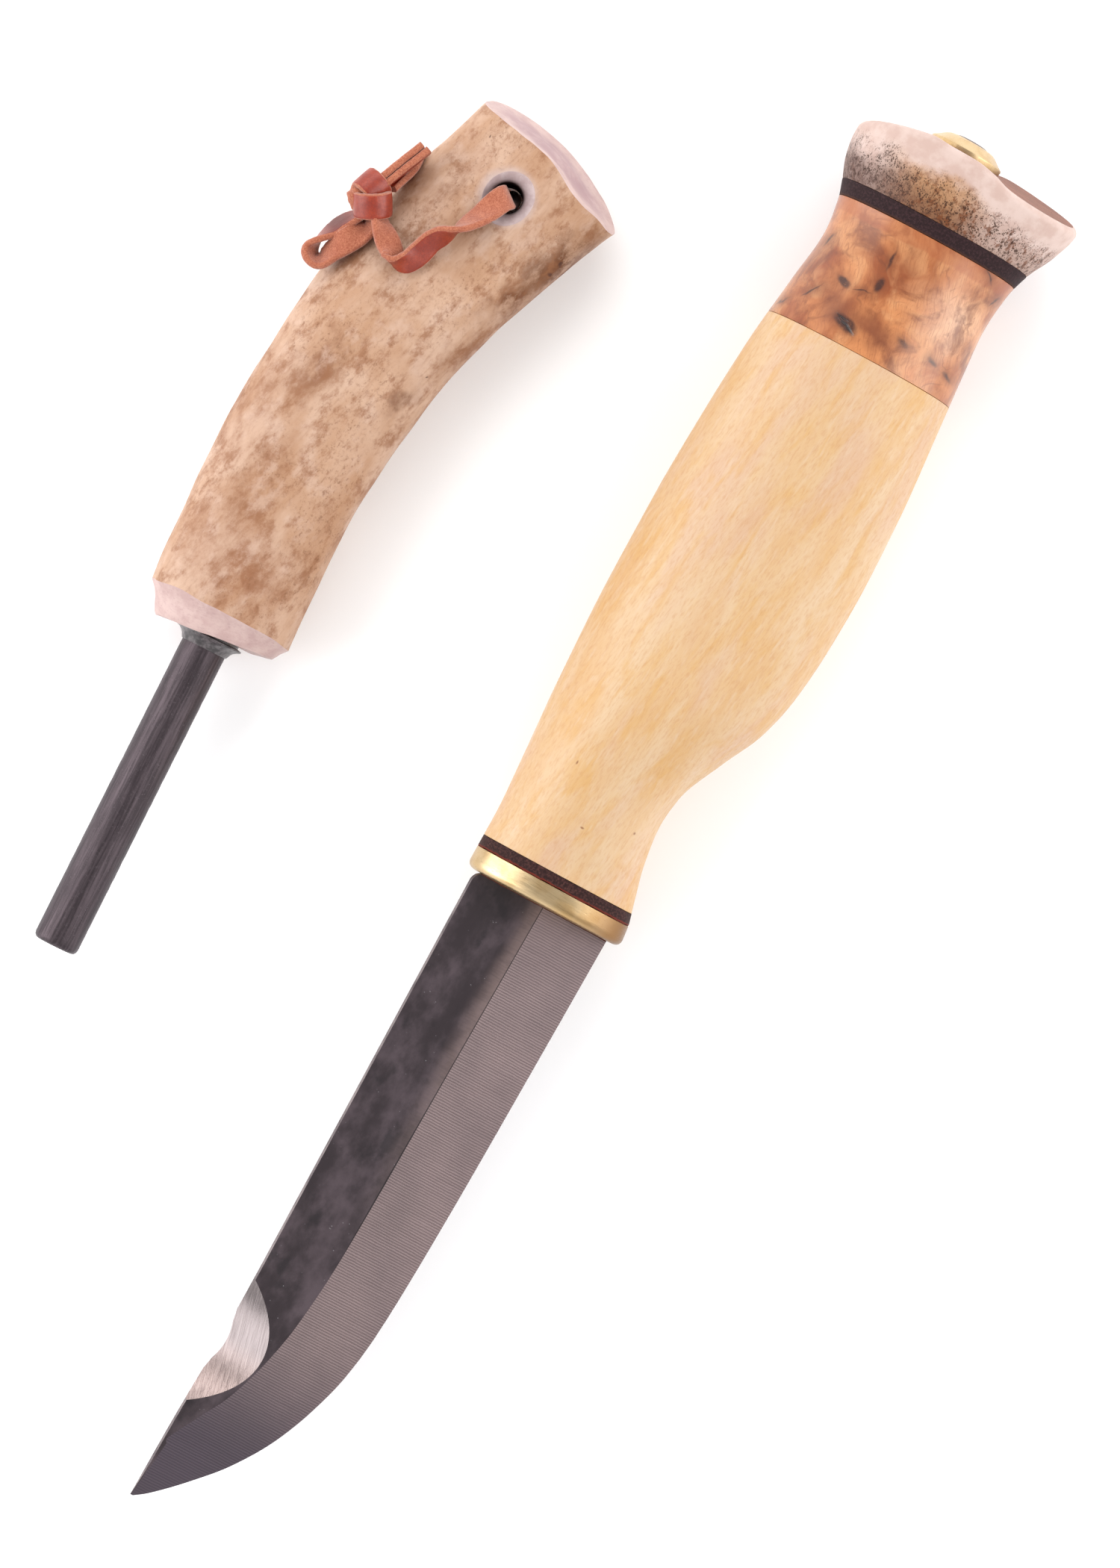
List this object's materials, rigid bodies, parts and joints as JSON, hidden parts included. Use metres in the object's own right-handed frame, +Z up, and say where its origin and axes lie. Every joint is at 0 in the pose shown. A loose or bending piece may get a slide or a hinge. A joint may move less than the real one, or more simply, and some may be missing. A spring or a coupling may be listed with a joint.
{
  "type": "sheath knife and fire steel",
  "caption": "Nordic sheath knife with a layered wood and antler handle, beside its matching fire steel: a ferro rod in a curved antler grip with a leather lace.",
  "frame": {"origin": "on the table, under the middle of the pair's outline measured without the lace", "axes": "+Y along the knife from the blade's tip to the pommel, +X from the blade's spine to its edge, +Z up from the table"},
  "size_m": [0.0905, 0.213, 0.0236],
  "materials": {
    "blade_steel": "dark forge skin on the flats, fine cross-ground bevels, bright scoop",
    "brass": "hand polished with fine scratches",
    "dark_fibre": "sanded dark vulcanised fibre",
    "birch": "oiled pale curly birch",
    "birch_burl": "oiled orange-brown burl with dark figure",
    "antler": "lightly polished reindeer antler, pale where it is cut",
    "ferrocerium": "dark charcoal skin with a soft gloss",
    "epoxy": "grey glue",
    "lace_leather": "smooth reddish brown on the grain side, tan suede on the flesh side"
  },
  "bodies": {
    "knife": {"blade": "blade_steel", "bolster": "brass", "front_spacer": "dark_fibre", "handle_birch": "birch", "handle_burl": "birch_burl", "rear_spacer": "dark_fibre", "pommel_antler": "antler", "pommel_burr": "brass", "tang_glue": "epoxy"},
    "fire_steel": {"antler_grip": "antler", "ferro_rod": "ferrocerium", "rod_glue": "epoxy", "lace_loop": "lace_leather", "lace_knot": "lace_leather", "lace_bow": "lace_leather", "lace_tail_outer": "lace_leather", "lace_tail_inner": "lace_leather"}
  },
  "joints": [
    {"name": "fire_steel_lift", "type": "slide", "parent": "knife", "child": "fire_steel", "axis": [0, 0, 1], "range_m": [0, 0.12]}
  ]
}
